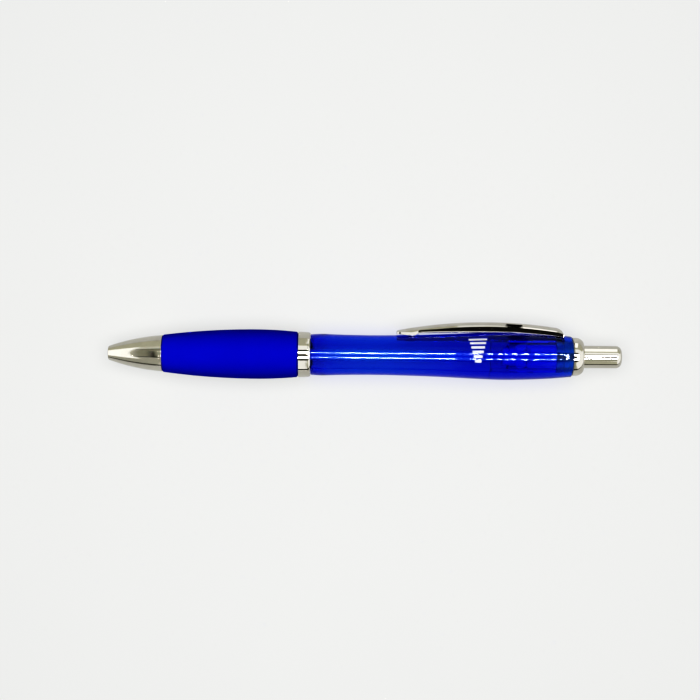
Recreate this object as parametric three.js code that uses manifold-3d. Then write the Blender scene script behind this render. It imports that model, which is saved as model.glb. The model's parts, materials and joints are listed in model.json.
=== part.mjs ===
// A retractable ballpoint pen, modelled as the separate pieces it comes apart into.
// Millimetres. The pen lies on its side on the plane z = 0 with its point towards -X and its
// clip towards +Y; the origin is the bottom centre of its bounding box.
// Inside the pen group x runs along the pen's axis from the front face of the nose cone.

import * as THREE from 'three';
import { mergeVertices } from 'three/addons/utils/BufferGeometryUtils.js';
import Module from 'manifold-3d';

const wasm = await Module();
wasm.setup();

// ---------------------------------------------------------------- driving dimensions

const SLIP = 0.05; // gap between pieces that are assembled and stay put
const RUN = 0.1; // gap between pieces that slide or turn on each other
const ROUND = 40; // facets round a large piece
const SMALL_ROUND = 32; // facets round a piece 5 to 8 mm across
const FINE_ROUND = 24; // facets round a thinner piece

const LENGTH = 140; // nose face to button end, with the point retracted
const STROKE = 7; // the button's full press
const ADVANCE = 5.8; // how far the refill moves in a full press

const NOSE = {
  length: 14.8, apex: 18, apexRadius: 5.05, taper: 0.00985, // a parabola about its apex
  faceRadius: 1.7, faceStep: 0.15, boreRadius: 1.25, boreEnd: 2.6,
  throatRadius: 1.7, throatStart: 3.4, springSeat: 9, pocketRadius: 2.35,
  spigotRadius: 3.6, spigotEnd: 20.6, spigotChamfer: 0.2,
};
const GRIP = {
  end: 51.65, apex: 40.3, apexRadius: 6.75, frontTaper: 0.00259, rearTaper: 0.00438,
  edge: 0.35, wall: 4.4, rearWall: 5.25, stepStart: 40, stepEnd: 44,
};
const RIDGES = { centres: [23, 31], footHalf: 0.9, crestHalf: 0.5, height: 0.25 };
const RING = {
  start: 51.75, end: 55.15, frontRadius: 6.2, rearRadius: 6.08, crown: 0.04, boreRadius: 4.45, edge: 0.2,
};
const THREAD = {
  pitch: 1.6, turns: 3.2, start: 45.8, rootRadius: 3.9, crestRadius: 4.35, rootHalf: 0.45, crestHalf: 0.2,
};
const FRONT = {
  start: 14.9, end: 51.6, boreRadius: 2.5, boreStart: 20.8, threadBore: 4.02, threadStart: 43.6,
  mouthRadius: 4.3, mouthDepth: 0.4,
};
const BARREL = {
  start: 55.25, end: 126.5, boreRadius: 4.2, boreStart: 57.75, camBore: 4.45, camStep: 104,
  neckBore: 3.1, neckBoreEnd: 56.75, neckStart: 44.5, neckChamfer: 0.2, seatRadius: 4.35, edge: 0.3,
};
// The barrel's hourglass, [x, radius]: waist behind the ring, bulge under the clip.
const HOURGLASS = [
  [55.25, 5.82], [62, 5.57], [71, 5.42], [80, 5.52], [90, 5.8],
  [98, 6.16], [106.5, 6.48], [114, 6.36], [120.5, 6.04], [126.5, 5.5],
];
const CAP = {
  spigotStart: 121.9, spigotRadius: 4.4, rimStart: 126.55, rimRadius: 5.2, domeStart: 127.3, end: 129.6,
  mouthRadius: 3.65, holeRadius: 3.25, grooveRadius: 4.1, grooves: [123.4, 125.1], grooveWidth: 0.6,
};
const BUTTON = {
  start: 122, radius: 3.1, endRadius: 3.04, endRounding: 1.5, innerRadius: 2.45, innerEnd: 137.6,
};

// The click mechanism: grooves and lands in the sleeve, crowns of teeth on plunger and rotor.
const CAM = {
  start: 104.3, end: 121.8, outerRadius: 4.4, grooveRadius: 3.95, landRadius: 3.25,
  landFront: 108.5, notchDepth: 0.7, landFrom: 18, landTo: 72, grooves: 4,
};
const CROWN = { teeth: 8, height: 1.2, innerRadius: 1.9, rootDepth: 0.4 };
const ROTOR = {
  start: 107.5, socketRadius: 1.6, socketEnd: 110, neckRadius: 2.4, neckEnd: 110.5, bodyRadius: 2.95,
  shoulder: 111, crownBase: 112.5, pinRadius: 1.5, pinEnd: 118,
  finStart: 111.4, finEnd: CAM.landFront + ADVANCE - RUN, finRadius: 3.85,
  finWidth: 12, finLead: -4.3, finSlant: 0.36,
};
const PLUNGER = {
  crownBase: ROTOR.crownBase + 2 * (CROWN.height + RUN), bodyRadius: 3.1, bodyEnd: 121.95,
  stemRadius: 2.4, stemEnd: 135, boreRadius: 1.7, boreEnd: 121,
  ribStart: ROTOR.finEnd - ADVANCE + STROKE + 2 * RUN, ribRadius: 3.85, ribWidth: 32,
};

const REFILL = {
  tubeStart: 11.9, tubeEnd: 109.6, tubeRadius: 1.5, boreRadius: 1, inkStart: 17.3, inkEnd: 82,
  followerEnd: 88, earStart: 31.1, earLength: 1.6, earRadius: 2.1, earWidth: 40, earNarrowing: 0.6,
  holderStart: 9.6, holderEnd: 17, socketEnd: 13.5, feedRadius: 0.4,
};
const POINT = {
  ballCentre: 2.7, ballRadius: 0.5, play: 0.03, rim: 2.48, rimRadius: 0.6,
  coneEnd: 5.4, radius: 1.15, end: 9.5, tailRadius: 0.8, tailEnd: 13.3, inkRadius: 0.3,
};
const SPRING = {
  start: 9.05, end: 31, meanRadius: 1.93, wireRadius: 0.2, activeTurns: 9, closedPitch: 0.42,
};

const CLIP = {
  front: 78.6, rear: 124.1, frontWidth: 4.4, rearWidth: 5.4, sheet: 0.5, shoulder: 1,
  arcTop: 103.5, arcHeight: 9.25, arcRadius: 128, arcFrom: 80.8, arcTo: 122.4, tipHeight: 6,
  footX: 83.3, footHalf: 0.3, footHeight: 5.2, footEnd: 85.3, edgeHeight: 6.05, edgeRise: 0.3,
  baseStart: 110.8, baseStep: 0.5, baseGap: 0.2,
};
// The clip's tongue drops through a slot in the barrel and hooks forwards under its wall.
const TONGUE = { start: 119.9, back: 123.1, width: 3, foot: 4.5, top: 4.85 };
const SLOT = { start: 122.2, end: 123.5, width: 3.6, pocketStart: 119.6, floor: 4, roof: 5.15, top: 8 };

const MATERIALS = {
  chrome: { color: 0xd2d2cc, roughness: 0.12, metalness: 1 },
  blueClear: { color: 0x0626d8, roughness: 0.08, metalness: 0 },
  gripRubber: { color: 0x0505a8, roughness: 0.7, metalness: 0 },
  whitePlastic: { color: 0xe8e8e4, roughness: 0.4, metalness: 0 },
  naturalPlastic: { color: 0xdfe6ea, roughness: 0.25, metalness: 0 },
  ink: { color: 0x0a0f5c, roughness: 0.3, metalness: 0 },
  grease: { color: 0xd9cf9a, roughness: 0.5, metalness: 0 },
  brass: { color: 0xc9a95c, roughness: 0.25, metalness: 1 },
  carbide: { color: 0x9a9a98, roughness: 0.15, metalness: 1 },
  springSteel: { color: 0xb4b4b0, roughness: 0.25, metalness: 1 },
};

// ---------------------------------------------------------------- geometry helpers

const radians = THREE.MathUtils.degToRad;
const lerp = THREE.MathUtils.lerp;

// Position-only geometry with shared vertices, ready to become a solid.
function merged(geometry) {
  const bare = geometry.clone();
  bare.deleteAttribute('normal');
  bare.deleteAttribute('uv');
  return mergeVertices(bare, 1e-4);
}

function toSolid(geometry) {
  const shared = merged(geometry);
  const mesh = new wasm.Mesh({
    numProp: 3,
    vertProperties: new Float32Array(shared.attributes.position.array),
    triVerts: new Uint32Array(shared.index.array),
  });
  return new wasm.Manifold(mesh);
}

function toGeometry(solid) {
  const mesh = solid.getMesh();
  const geometry = new THREE.BufferGeometry();
  geometry.setAttribute('position', new THREE.BufferAttribute(mesh.vertProperties, mesh.numProp));
  geometry.setIndex(new THREE.BufferAttribute(mesh.triVerts, 1));
  geometry.computeVertexNormals();
  return geometry;
}

function combined(operation, first, others) {
  return toGeometry(others.reduce((solid, other) => solid[operation](toSolid(other)), toSolid(first)));
}
const join = (first, ...others) => combined('add', first, others);
const cut = (first, ...others) => combined('subtract', first, others);
const common = (first, second) => combined('intersect', first, [second]);

// A piece turned about the X axis. The outline is [x, radius] points that go round the section
// with the material on their right: forwards along the outside, back along the inside.
function turned(outline, facets = ROUND) {
  const points = outline.map(([x, radius]) => new THREE.Vector2(radius, x));
  const open = outline[0][1] === 0 && outline.at(-1)[1] === 0;
  if (!open) points.push(points[0].clone());
  return new THREE.LatheGeometry(points, facets).rotateZ(-Math.PI / 2);
}

// A box bent round the X axis in steps. place(along, out, round) takes three shares from 0 to 1
// and gives [x, radius, degrees from +Y towards +Z].
function wrapped(steps, place) {
  const geometry = merged(new THREE.BoxGeometry(1, 1, 1, 1, 1, steps).translate(0.5, 0.5, 0.5));
  const position = geometry.attributes.position;
  for (let i = 0; i < position.count; i += 1) {
    const [x, radius, degrees] = place(position.getX(i), position.getY(i), position.getZ(i));
    position.setXYZ(i, x, radius * Math.cos(radians(degrees)), radius * Math.sin(radians(degrees)));
  }
  return geometry;
}

// A closed [x, y] outline in the plane of the axis, given thickness width across the pen.
function plate(outline, width, bevel = null) {
  const shape = new THREE.Shape(outline.map(([x, y]) => new THREE.Vector2(x, y)));
  const rounding = bevel
    ? { bevelEnabled: true, bevelSize: bevel, bevelThickness: bevel, bevelOffset: -bevel, bevelSegments: 3 }
    : { bevelEnabled: false };
  const depth = bevel ? width - 2 * bevel : width;
  return new THREE.ExtrudeGeometry(shape, { depth, ...rounding }).translate(0, 0, -depth / 2);
}

// count points of y = f(x) from x0 to x1, both ends included.
function sampled(f, x0, x1, count) {
  return Array.from({ length: count }, (_, i) => {
    const x = lerp(x0, x1, i / (count - 1));
    return [x, f(x)];
  });
}

// Points of a quarter ellipse from [x0, y0], where it runs along X, to [x1, y1].
function quarter(x0, y0, x1, y1, steps) {
  return Array.from({ length: steps + 1 }, (_, i) => {
    const turn = (Math.PI / 2) * (i / steps);
    return [lerp(x0, x1, Math.sin(turn)), lerp(y1, y0, Math.cos(turn))];
  });
}

const times = (count, make) => Array.from({ length: count }, (_, i) => make(i));

// ---------------------------------------------------------------- outer shapes

const noseRadius = (x) => NOSE.apexRadius - NOSE.taper * (NOSE.apex - x) ** 2;

function gripRadius(x) {
  const taper = x < GRIP.apex ? GRIP.frontTaper : GRIP.rearTaper;
  return GRIP.apexRadius - taper * (x - GRIP.apex) ** 2;
}

const hourglassCurve = new THREE.SplineCurve(HOURGLASS.map(([x, radius]) => new THREE.Vector2(x, radius)));
const barrelSkin = hourglassCurve.getPoints(2 * (HOURGLASS.length - 1)).map(({ x, y }) => [x, y]);

function barrelRadius(x) {
  const next = Math.max(1, barrelSkin.findIndex(([skinX]) => skinX >= x));
  const [[x0, radius0], [x1, radius1]] = [barrelSkin[next - 1], barrelSkin[next]];
  return lerp(radius0, radius1, (x - x0) / (x1 - x0));
}

// ---------------------------------------------------------------- front section

// Chromed cone with the point's bore, the spring's seat and a spigot for the front barrel.
function noseCone() {
  return turned([
    [0, NOSE.boreRadius], [0, NOSE.faceRadius],
    ...sampled(noseRadius, NOSE.faceStep, NOSE.length, 8),
    [NOSE.length, NOSE.spigotRadius],
    [NOSE.spigotEnd - NOSE.spigotChamfer, NOSE.spigotRadius],
    [NOSE.spigotEnd, NOSE.spigotRadius - NOSE.spigotChamfer],
    [NOSE.spigotEnd, NOSE.pocketRadius], [NOSE.springSeat, NOSE.pocketRadius],
    [NOSE.springSeat, NOSE.throatRadius], [NOSE.throatStart, NOSE.throatRadius],
    [NOSE.boreEnd, NOSE.boreRadius],
  ]);
}

// The ridges and the step under the grip: offset 0 is the tube's outside, SLIP the grip's inside.
function underGrip(offset) {
  const radius = GRIP.wall - SLIP + offset;
  return [
    ...RIDGES.centres.flatMap((x) => [
      [x - RIDGES.footHalf, radius], [x - RIDGES.crestHalf, radius + RIDGES.height],
      [x + RIDGES.crestHalf, radius + RIDGES.height], [x + RIDGES.footHalf, radius],
    ]),
    [GRIP.stepStart, radius], [GRIP.stepEnd, GRIP.rearWall - SLIP + offset],
  ];
}

// A helical ridge of the screw joint. The groove it runs in is the same ridge grown by a
// clearance, and it doesn't fade out at its ends.
function threadRidge(start, turns, clearance) {
  const stepsPerTurn = 16;
  const fadeShare = 0.1;
  const buried = THREAD.rootRadius - 0.3;
  return wrapped(Math.round(turns * stepsPerTurn), (along, out, round) => {
    const fade = clearance ? 1 : Math.min(1, round / fadeShare, (1 - round) / fadeShare);
    const half = (out ? THREAD.crestHalf : THREAD.rootHalf) + clearance;
    return [
      start + THREAD.pitch * turns * round + lerp(-half, half, along),
      out ? lerp(buried + 0.1, THREAD.crestRadius + clearance, fade) : buried,
      360 * turns * round,
    ];
  });
}

// Inner tube of the front section: carries the grip, holds the nose, screws onto the barrel.
function frontBarrel() {
  const tube = turned([
    [FRONT.start, NOSE.spigotRadius + SLIP], [FRONT.start, GRIP.wall - SLIP],
    ...underGrip(0),
    [FRONT.end, GRIP.rearWall - SLIP], [FRONT.end, FRONT.mouthRadius],
    [FRONT.end - FRONT.mouthDepth, FRONT.threadBore], [FRONT.threadStart, FRONT.threadBore],
    [FRONT.threadStart, FRONT.boreRadius], [FRONT.boreStart, FRONT.boreRadius],
    [FRONT.boreStart, NOSE.spigotRadius + SLIP],
  ]);
  const spare = 0.25; // turns of groove before the ridge's start, and past the tube's mouth
  const turns = (FRONT.end - THREAD.start) / THREAD.pitch + 2 * spare;
  const groove = threadRidge(THREAD.start - spare * THREAD.pitch, turns, RUN);
  return cut(tube, groove.rotateX(radians(-360 * spare)));
}

// Soft sleeve with rounded ends, held by the ridges of the tube under it.
function gripSleeve() {
  const start = FRONT.start;
  const bevel = 0.3 * GRIP.edge;
  return turned([
    [start, GRIP.wall], [start, gripRadius(start) - GRIP.edge],
    [start + bevel, gripRadius(start) - bevel],
    ...sampled(gripRadius, start + GRIP.edge, GRIP.end - GRIP.edge, 10),
    [GRIP.end - bevel, gripRadius(GRIP.end) - bevel],
    [GRIP.end, gripRadius(GRIP.end) - GRIP.edge], [GRIP.end, GRIP.rearWall],
    ...underGrip(SLIP).reverse(),
  ]);
}

function centreRing() {
  return turned([
    [RING.start, RING.boreRadius], [RING.start, RING.frontRadius - RING.edge],
    [RING.start + RING.edge, RING.frontRadius],
    [(RING.start + RING.end) / 2, (RING.frontRadius + RING.rearRadius) / 2 + RING.crown],
    [RING.end - RING.edge, RING.rearRadius],
    [RING.end, RING.rearRadius - RING.edge], [RING.end, RING.boreRadius],
  ]);
}

// ---------------------------------------------------------------- rear section

// A block from x0 to x1 and from y0 to y1, centred across the pen.
function block([x0, x1], [y0, y1], width) {
  return new THREE.BoxGeometry(x1 - x0, y1 - y0, width).translate((x0 + x1) / 2, (y0 + y1) / 2, 0);
}

// Clear hourglass barrel with a screw neck in front and the clip's slot behind.
function rearBarrel() {
  const neckEnd = FRONT.end + RUN;
  const rim = BARREL.end - BARREL.edge;
  const body = turned([
    [BARREL.neckStart, BARREL.neckBore], [BARREL.neckStart, THREAD.rootRadius - BARREL.neckChamfer],
    [BARREL.neckStart + BARREL.neckChamfer, THREAD.rootRadius], [neckEnd, THREAD.rootRadius],
    [neckEnd, BARREL.seatRadius], [BARREL.start, BARREL.seatRadius],
    [BARREL.start, barrelRadius(BARREL.start) - BARREL.edge],
    ...barrelSkin.slice(1, -1),
    [rim, barrelRadius(rim)], [BARREL.end, barrelRadius(BARREL.end) - BARREL.edge],
    [BARREL.end, BARREL.camBore], [BARREL.camStep, BARREL.camBore],
    [BARREL.camStep, BARREL.boreRadius], [BARREL.boreStart, BARREL.boreRadius],
    [BARREL.neckBoreEnd, BARREL.neckBore],
  ]);
  const slot = block([SLOT.start, SLOT.end], [SLOT.floor, SLOT.top], SLOT.width);
  const pocket = block([SLOT.pocketStart, SLOT.end], [SLOT.floor, SLOT.roof], SLOT.width);
  return cut(join(body, threadRidge(THREAD.start, THREAD.turns, 0)), slot, pocket);
}

// Sleeve whose lands guide the fins, and whose notched front ends hold the rotor forward.
function camSleeve() {
  const tube = turned([
    [CAM.start, CAM.grooveRadius], [CAM.start, CAM.outerRadius],
    [CAM.end, CAM.outerRadius], [CAM.end, CAM.grooveRadius],
  ]);
  const tooth = (CAM.landTo - CAM.landFrom) / 2;
  const buried = (CAM.grooveRadius + CAM.outerRadius) / 2;
  const halfLand = (index) => wrapped(4, (along, out, round) => [
    along ? CAM.end : CAM.landFront + CAM.notchDepth * round,
    out ? buried : CAM.landRadius,
    CAM.landFrom + (360 / CAM.grooves) * Math.floor(index / 2) + tooth * ((index % 2) + round),
  ]);
  return join(tube, ...times(2 * CAM.grooves, halfLand));
}

// Chromed dome that closes the barrel and guides the button.
function endCap() {
  return turned([
    [CAP.spigotStart, CAP.holeRadius], [CAP.spigotStart, CAP.spigotRadius],
    ...CAP.grooves.flatMap((x) => [
      [x, CAP.spigotRadius], [x, CAP.grooveRadius],
      [x + CAP.grooveWidth, CAP.grooveRadius], [x + CAP.grooveWidth, CAP.spigotRadius],
    ]),
    [CAP.rimStart, CAP.spigotRadius], [CAP.rimStart, CAP.rimRadius],
    ...quarter(CAP.domeStart, CAP.rimRadius, CAP.end, CAP.mouthRadius, 5),
    [CAP.end, CAP.holeRadius],
  ]);
}

// ---------------------------------------------------------------- clip

function clipTop(x) {
  return CLIP.arcHeight - CLIP.arcRadius + Math.sqrt(CLIP.arcRadius ** 2 - (x - CLIP.arcTop) ** 2);
}

// Side outline of the sheet's outer surface, or of its inner one at inset = the sheet's thickness.
function clipCrown(inset) {
  const below = TONGUE.foot - 2; // out of the way, trimmed off by clipSide
  const front = CLIP.front + inset;
  const rear = CLIP.rear - inset;
  return [
    [front, below], [front, CLIP.tipHeight + 0.2 - inset],
    ...sampled((x) => clipTop(x) - inset, CLIP.arcFrom, CLIP.arcTo - inset / 2, 14),
    [rear, CLIP.tipHeight + 0.3 - inset], [rear, below],
  ];
}

// Side outline of the flanges: tip, foot on the barrel, nearly straight edge, deeper base.
function clipSide() {
  const clear = 1; // how far the outline runs past the sheet where nothing is trimmed
  const high = CLIP.arcHeight + clear;
  const low = CLIP.footHeight - clear;
  const edgeEnd = CLIP.baseStart - CLIP.baseStep;
  return [
    [CLIP.front - clear, high], [CLIP.front - clear, CLIP.tipHeight - 0.15],
    [CLIP.front, CLIP.tipHeight - 0.2],
    [CLIP.footX - CLIP.footHalf, CLIP.footHeight], [CLIP.footX + CLIP.footHalf, CLIP.footHeight],
    [CLIP.footEnd, CLIP.edgeHeight],
    [(CLIP.footEnd + edgeEnd) / 2, CLIP.edgeHeight + CLIP.edgeRise],
    [edgeEnd, CLIP.edgeHeight + CLIP.edgeRise / 2],
    [CLIP.baseStart, low], [CLIP.rear + clear, low], [CLIP.rear + clear, high],
  ];
}

// Narrows the clip evenly from its base to its tip.
function tapered(geometry) {
  const position = geometry.attributes.position;
  for (let i = 0; i < position.count; i += 1) {
    const share = (position.getX(i) - CLIP.front) / (CLIP.rear - CLIP.front);
    position.setZ(i, position.getZ(i) * lerp(CLIP.frontWidth / CLIP.rearWidth, 1, share));
  }
  return geometry;
}

// Bent sheet: crowned channel with flanges, and a tongue that hooks under the barrel's wall.
function clip() {
  const innerShoulder = CLIP.shoulder - CLIP.sheet / 2;
  const channel = cut(
    plate(clipCrown(0), CLIP.rearWidth, CLIP.shoulder),
    plate(clipCrown(CLIP.sheet), CLIP.rearWidth - 2 * CLIP.sheet, innerShoulder),
  );
  const barrelSpace = turned([
    [BARREL.start, 0], ...barrelSkin.map(([x, radius]) => [x, radius + CLIP.baseGap]), [BARREL.end, 0],
  ]);
  const flanged = common(channel, plate(clipSide(), 2 * CLIP.rearWidth));
  const leg = TONGUE.back - CLIP.sheet;
  const tongue = plate([
    [TONGUE.start, TONGUE.foot], [TONGUE.back, TONGUE.foot], [TONGUE.back, CLIP.tipHeight],
    [CLIP.rear - 0.2, CLIP.tipHeight + 0.1], [CLIP.rear - 1, CLIP.tipHeight + 1],
    [leg, CLIP.tipHeight + 0.6], [leg, TONGUE.top], [TONGUE.start, TONGUE.top],
  ], TONGUE.width);
  return join(tapered(cut(flanged, barrelSpace)), tongue);
}

// ---------------------------------------------------------------- button and click mechanism

// Chromed tube, closed and rounded at its outer end.
function pushButton() {
  const flatRadius = BUTTON.endRadius - BUTTON.endRounding;
  return turned([
    [BUTTON.innerEnd, 0], [BUTTON.innerEnd, BUTTON.innerRadius],
    [BUTTON.start, BUTTON.innerRadius], [BUTTON.start, BUTTON.radius],
    ...quarter(LENGTH - BUTTON.endRounding, BUTTON.endRadius, LENGTH, flatRadius, 5),
    [LENGTH, 0],
  ], SMALL_ROUND);
}

// A ring of pointed teeth whose roots stand on base: direction 1 points them to +X, -1 to -X.
function crown(base, direction, outerRadius) {
  const pitch = 360 / CROWN.teeth;
  const rooted = base - direction * CROWN.rootDepth;
  const tooth = (index) => wrapped(4, (along, out, round) => {
    const tip = base + direction * CROWN.height * (1 - Math.abs(2 * round - 1));
    return [
      (along > 0) === (direction > 0) ? tip : rooted,
      out ? outerRadius : CROWN.innerRadius,
      pitch * (index + round - 0.5),
    ];
  });
  return times(CROWN.teeth, tooth);
}

// Plunger pressed into the button: crown in front, ribs that run in the sleeve's grooves.
function thrustCam() {
  const body = turned([
    [PLUNGER.boreEnd, 0], [PLUNGER.boreEnd, PLUNGER.boreRadius],
    [PLUNGER.crownBase, PLUNGER.boreRadius], [PLUNGER.crownBase, PLUNGER.bodyRadius],
    [PLUNGER.bodyEnd, PLUNGER.bodyRadius], [PLUNGER.bodyEnd, PLUNGER.stemRadius],
    [PLUNGER.stemEnd, PLUNGER.stemRadius], [PLUNGER.stemEnd, 0],
  ], SMALL_ROUND);
  const rib = (index) => wrapped(3, (along, out, round) => [
    lerp(PLUNGER.ribStart, CAM.end, along),
    out ? PLUNGER.ribRadius : PLUNGER.bodyRadius - 0.2,
    (360 / CAM.grooves) * index + PLUNGER.ribWidth * (round - 0.5),
  ]);
  return join(body, ...crown(PLUNGER.crownBase, -1, PLUNGER.bodyRadius), ...times(CAM.grooves, rib));
}

// Turns part of a turn at each click: crown behind, slant-ended fins, a socket for the refill.
function rotor() {
  const body = turned([
    [ROTOR.socketEnd, 0], [ROTOR.socketEnd, ROTOR.socketRadius], [ROTOR.start, ROTOR.socketRadius],
    [ROTOR.start, ROTOR.neckRadius], [ROTOR.neckEnd, ROTOR.neckRadius],
    [ROTOR.shoulder, ROTOR.bodyRadius], [ROTOR.crownBase, ROTOR.bodyRadius],
    [ROTOR.crownBase, ROTOR.pinRadius], [ROTOR.pinEnd, ROTOR.pinRadius], [ROTOR.pinEnd, 0],
  ], SMALL_ROUND);
  // Each fin is rooted in the body and reaches back outside the plunger's crown.
  const fin = (index, end, innerRadius) => wrapped(2, (along, out, round) => [
    along ? end - ROTOR.finSlant * (1 - round) : ROTOR.finStart,
    out ? ROTOR.finRadius : innerRadius,
    (360 / CAM.grooves) * index + ROTOR.finLead - ROTOR.finWidth * (1 - round),
  ]);
  return join(
    body,
    ...crown(ROTOR.crownBase, 1, ROTOR.bodyRadius),
    ...times(CAM.grooves, (index) => fin(index, ROTOR.crownBase, ROTOR.bodyRadius - 0.3)),
    ...times(CAM.grooves, (index) => fin(index, ROTOR.finEnd, PLUNGER.bodyRadius + RUN)),
  );
}

// ---------------------------------------------------------------- refill and spring

// Tube with the two crimped ears that the spring pushes on.
function refillTube() {
  const tube = turned([
    [REFILL.tubeStart, REFILL.boreRadius], [REFILL.tubeStart, REFILL.tubeRadius],
    [REFILL.tubeEnd, REFILL.tubeRadius], [REFILL.tubeEnd, REFILL.boreRadius],
  ], FINE_ROUND);
  const ear = (index) => wrapped(2, (along, out, round) => {
    const size = out ? REFILL.earNarrowing : 1;
    return [
      REFILL.earStart + REFILL.earLength * along * size,
      out ? REFILL.earRadius : REFILL.tubeRadius - 0.2,
      180 * index + REFILL.earWidth * (round - 0.5) * size,
    ];
  });
  return join(tube, ear(0), ear(1));
}

// What fills the tube between two stations.
function filling(start, end) {
  const radius = REFILL.boreRadius - SLIP;
  return turned([[start, 0], [start, radius], [end, radius], [end, 0]], FINE_ROUND);
}

// Plug that holds the metal point in the tube.
function pointHolder() {
  const spigotRadius = REFILL.boreRadius - SLIP;
  const spigotStart = REFILL.tubeStart - SLIP;
  const socketRadius = POINT.tailRadius + SLIP;
  return turned([
    [REFILL.holderStart, socketRadius], [REFILL.holderStart, REFILL.tubeRadius],
    [spigotStart, REFILL.tubeRadius], [spigotStart, spigotRadius],
    [REFILL.holderEnd, spigotRadius], [REFILL.holderEnd, REFILL.feedRadius],
    [REFILL.socketEnd, REFILL.feedRadius], [REFILL.socketEnd, socketRadius],
  ], FINE_ROUND);
}

// Metal point with the ball's seat, whose rim closes in front of the ball's widest part.
function pointCone() {
  const seatRadius = POINT.ballRadius + POINT.play;
  const rimAngle = Math.acos((POINT.ballCentre - POINT.rim) / seatRadius);
  const channelAngle = Math.PI - Math.asin(POINT.inkRadius / seatRadius);
  const seatSteps = 4;
  const seat = times(seatSteps + 1, (i) => {
    const angle = lerp(channelAngle, rimAngle, i / seatSteps);
    return [POINT.ballCentre - seatRadius * Math.cos(angle), seatRadius * Math.sin(angle)];
  });
  return turned([
    ...seat, [POINT.rim, POINT.rimRadius], [POINT.coneEnd, POINT.radius], [POINT.end, POINT.radius],
    [POINT.end, POINT.tailRadius], [POINT.tailEnd, POINT.tailRadius], [POINT.tailEnd, POINT.inkRadius],
  ], FINE_ROUND);
}

// Helix whose first and last turns lie closed, so that the spring's ends stand flat.
class SpringCurve extends THREE.Curve {
  getPoint(t, target = new THREE.Vector3()) {
    const turn = t * (SPRING.activeTurns + 2);
    const start = SPRING.start + SPRING.wireRadius;
    const length = SPRING.end - SPRING.start - 2 * SPRING.wireRadius;
    const pitch = (length - 2 * SPRING.closedPitch) / SPRING.activeTurns;
    const active = THREE.MathUtils.clamp(turn - 1, 0, SPRING.activeTurns);
    const angle = 2 * Math.PI * turn;
    return target.set(
      start + SPRING.closedPitch * (turn - active) + pitch * active,
      SPRING.meanRadius * Math.cos(angle),
      SPRING.meanRadius * Math.sin(angle),
    );
  }
}

function returnSpring() {
  const wireFacets = 5;
  const stepsPerTurn = 12;
  const wire = new THREE.Shape(times(wireFacets, (i) => {
    const angle = (2 * Math.PI * i) / wireFacets;
    return new THREE.Vector2(Math.cos(angle), Math.sin(angle)).multiplyScalar(SPRING.wireRadius);
  }));
  const steps = (SPRING.activeTurns + 2) * stepsPerTurn;
  return new THREE.ExtrudeGeometry(wire, { steps, extrudePath: new SpringCurve(), curveSegments: 1 });
}

// ---------------------------------------------------------------- the pen

function piece(name, geometry, material) {
  const mesh = new THREE.Mesh(geometry, new THREE.MeshStandardMaterial(MATERIALS[material]));
  mesh.name = name;
  return mesh;
}

function section(...pieces) {
  const group = new THREE.Group();
  group.add(...pieces);
  return group;
}

const frontSection = section(
  piece('nose_cone', noseCone(), 'chrome'),
  piece('front_barrel', frontBarrel(), 'blueClear'),
  piece('grip_sleeve', gripSleeve(), 'gripRubber'),
  piece('return_spring', returnSpring(), 'springSteel'),
);

const rearSection = section(
  piece('centre_ring', centreRing(), 'chrome'),
  piece('rear_barrel', rearBarrel(), 'blueClear'),
  piece('cam_sleeve', camSleeve(), 'blueClear'),
  piece('end_cap', endCap(), 'chrome'),
  piece('clip', clip(), 'chrome'),
);

const clickMechanism = section(
  piece('push_button', pushButton(), 'chrome'),
  piece('thrust_cam', thrustCam(), 'whitePlastic'),
  piece('rotor', rotor(), 'whitePlastic'),
);

const ball = piece('writing_ball', new THREE.SphereGeometry(POINT.ballRadius, 16, 8), 'carbide');
ball.position.x = POINT.ballCentre;
const refill = section(
  piece('refill_tube', refillTube(), 'naturalPlastic'),
  piece('ink_column', filling(REFILL.inkStart, REFILL.inkEnd), 'ink'),
  piece('ink_follower', filling(REFILL.inkEnd + SLIP, REFILL.followerEnd), 'grease'),
  piece('point_holder', pointHolder(), 'naturalPlastic'),
  piece('point_cone', pointCone(), 'brass'),
  ball,
);

const pen = section(frontSection, rearSection, clickMechanism, refill);
pen.position.set(-LENGTH / 2, (GRIP.apexRadius - CLIP.arcHeight) / 2, GRIP.apexRadius);

export default section(pen);
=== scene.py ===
"""The looks of a retractable ballpoint pen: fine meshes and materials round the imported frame.

Every turned piece is swept again, finely, from the outline of its own CAD node. The clip, the
spring, the screw thread and the click mechanism's teeth are meshed from a few sizes.
"""

import json
from math import acos, asin, atan, ceil, cos, degrees, pi, radians, sin, sqrt, tan

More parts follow.
